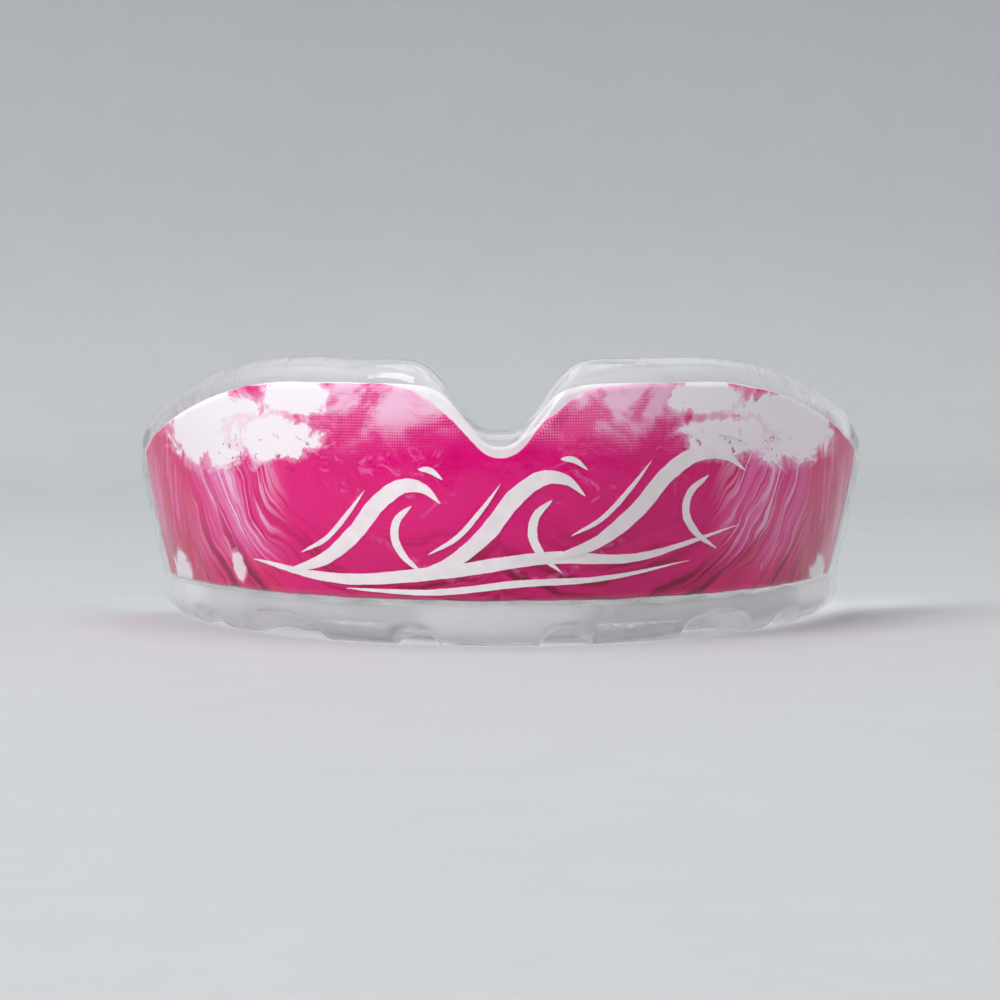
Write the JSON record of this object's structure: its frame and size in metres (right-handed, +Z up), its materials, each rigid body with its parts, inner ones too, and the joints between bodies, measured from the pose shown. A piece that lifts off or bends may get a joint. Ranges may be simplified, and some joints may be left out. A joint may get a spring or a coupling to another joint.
{
  "type": "custom mouthguard",
  "caption": "Upper-arch sports mouthguard: clear EVA laminates bonded around a printed film, with a lip notch, a tooth channel and a bite-marked base.",
  "frame": {"origin": "centre of the bounding box's bottom, on the biting face's plane", "axes": "+X along the width, to the right seen from the front; the front of the guard faces -Y; +Z up, towards the gum"},
  "size_m": [0.0674, 0.0468, 0.024],
  "materials": {
    "outer_eva": "clear glossy EVA",
    "inner_eva": "clear satin EVA",
    "white_film": "opaque white printed film",
    "printed_film": "magenta wave artwork under clear EVA",
    "white_ink": "white ink"
  },
  "bodies": {
    "root": {"outer_shell": "outer_eva", "inner_liner": "inner_eva", "base_film": "white_film", "print_film": "printed_film", "wave_motif": "white_ink"}
  },
  "joints": []
}
